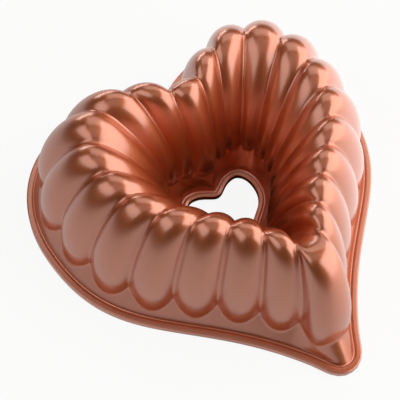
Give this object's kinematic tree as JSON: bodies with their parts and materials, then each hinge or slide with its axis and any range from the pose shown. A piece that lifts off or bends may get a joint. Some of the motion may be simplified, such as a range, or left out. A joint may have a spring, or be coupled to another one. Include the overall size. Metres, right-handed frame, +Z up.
{
  "type": "heart-shaped fluted tube pan",
  "caption": "Heart-shaped tube cake pan with deep rounded flutes over an arched ring, a flat rim and a heart-shaped hole in the middle.",
  "frame": {"origin": "on the table under the middle of the rim's length and width, with the pan standing mouth down on its rim", "axes": "+Z up through the hole, +Y from the heart's tip to its cleft, X across the lobes; X = 0 is the mirror plane"},
  "size_m": [0.2498, 0.2639, 0.0923],
  "materials": {
    "copper_finish": "satin copper-coloured non-stick coating on cast aluminium"
  },
  "bodies": {
    "root": {"pan": "copper_finish"}
  },
  "joints": []
}
